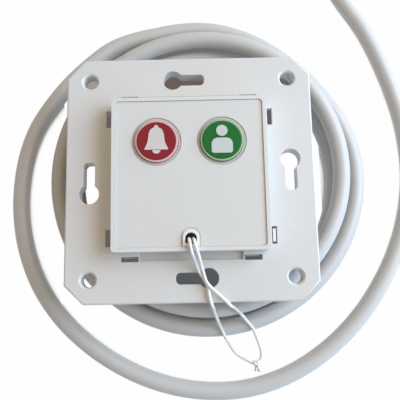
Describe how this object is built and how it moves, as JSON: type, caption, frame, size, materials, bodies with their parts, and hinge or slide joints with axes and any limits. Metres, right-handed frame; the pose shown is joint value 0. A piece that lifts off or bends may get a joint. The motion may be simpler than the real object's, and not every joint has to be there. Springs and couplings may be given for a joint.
{
  "type": "nurse call button",
  "caption": "Flush nurse call unit: square frame with a push-button module, red call and green presence buttons, pull cord and coiled connection cable.",
  "frame": {"origin": "below the middle of the module's face, on the surface that the unit lies on, which is the back of the rear housing", "axes": "+Z out of the face, +Y to the top edge of the frame, +X to its right as seen from the front"},
  "size_m": [0.1351, 0.2124, 0.0316],
  "materials": {
    "frame_plastic": "fine satin",
    "bezel_plastic": "satin",
    "label_film": "fine matte print film",
    "eyelet_plastic": "smooth",
    "ring_plastic": "frosted, passes light",
    "cap_plastic": "smooth",
    "red_plastic": "smooth",
    "green_plastic": "smooth",
    "picture_ink": "raised print",
    "switch_black": "moulded",
    "switch_cream": "moulded",
    "lamp_resin": "clear resin over a lamp chip",
    "board_laminate": "green lacquer",
    "header_nylon": "moulded",
    "micro_black": "moulded",
    "micro_red": "moulded",
    "lever_steel": "brushed",
    "slider_acetal": "smooth",
    "spring_steel": "drawn wire",
    "housing_plastic": "satin",
    "screw_steel": "zinc plated",
    "clamp_plastic": "moulded",
    "core_insulation": "four colours of insulation",
    "gland_rubber": "matte",
    "cord_textile": "fine braid",
    "cable_sheath": "soft satin sheath",
    "boot_rubber": "matte",
    "plug_plastic": "clear, slightly milky",
    "contact_gold": "gold plated"
  },
  "bodies": {
    "panel": {"mounting_frame": "frame_plastic", "front_bezel": "bezel_plastic", "face_label": "label_film", "cord_eyelet": "eyelet_plastic", "call_light_ring": "ring_plastic", "presence_light_ring": "ring_plastic", "call_switch_body": "switch_black", "presence_switch_body": "switch_black", "call_leds": "lamp_resin", "presence_leds": "lamp_resin", "circuit_board": "board_laminate", "wire_header": "header_nylon", "pull_switch_body": "micro_black", "return_spring": "spring_steel", "rear_housing": "housing_plastic", "housing_screws": "screw_steel", "cable_clamp": "clamp_plastic", "clamp_screws": "screw_steel", "cable_cores": "core_insulation", "cable_gland": "gland_rubber", "cable_lead": "cable_sheath", "cable_coil": "cable_sheath", "cable_loop": "cable_sheath", "spare_coil": "cable_sheath", "cable_tail": "cable_sheath", "plug_boot": "boot_rubber", "plug_body": "plug_plastic", "plug_contacts": "contact_gold"},
    "call_button": {"call_button_cap": "cap_plastic", "call_button_disc": "red_plastic", "call_bell_picture": "picture_ink", "call_switch_plunger": "switch_cream"},
    "presence_button": {"presence_button_cap": "cap_plastic", "presence_button_disc": "green_plastic", "presence_figure_picture": "picture_ink", "presence_switch_plunger": "switch_cream"},
    "pull_set": {"pull_slider": "slider_acetal", "pull_cord": "cord_textile", "cord_knot": "cord_textile"},
    "pull_lever": {"pull_switch_lever": "lever_steel"},
    "pull_plunger": {"pull_switch_plunger": "micro_red"},
    "latch": {"plug_latch": "plug_plastic"}
  },
  "joints": [
    {"name": "call_button_press", "type": "slide", "parent": "panel", "child": "call_button", "axis": [0, 0, -1], "range_m": [0, 0.0005], "stiffness_N_per_m": 600, "springref_m": -0.001},
    {"name": "presence_button_press", "type": "slide", "parent": "panel", "child": "presence_button", "axis": [0, 0, -1], "range_m": [0, 0.0005], "stiffness_N_per_m": 600, "springref_m": -0.001},
    {"name": "cord_pull", "type": "slide", "parent": "panel", "child": "pull_set", "axis": [0, 0, 1], "range_m": [0, 0.003], "stiffness_N_per_m": 300, "springref_m": -0.003, "deforming": ["return_spring"]},
    {"name": "pull_lever_turn", "type": "hinge", "parent": "panel", "child": "pull_lever", "pos_m": [0, -0.0005, 0.0093], "axis": [-1, 0, 0], "range_deg": [0, 17.3]},
    {"name": "pull_plunger_press", "type": "slide", "parent": "panel", "child": "pull_plunger", "axis": [0, 0, 1], "range_m": [0, 0.0011]},
    {"name": "plug_latch_press", "type": "hinge", "parent": "panel", "child": "latch", "pos_m": [-0.03532, 0.08607, 0.0081], "axis": [-0.8829, 0.4695, 0], "range_deg": [0, 5], "stiffness_Nm_per_rad": 0.02}
  ],
  "couplings": [
    {"joint": "pull_lever_turn", "follows": "cord_pull", "rad_per_m": 100},
    {"joint": "pull_plunger_press", "follows": "cord_pull", "ratio": 0.35}
  ]
}
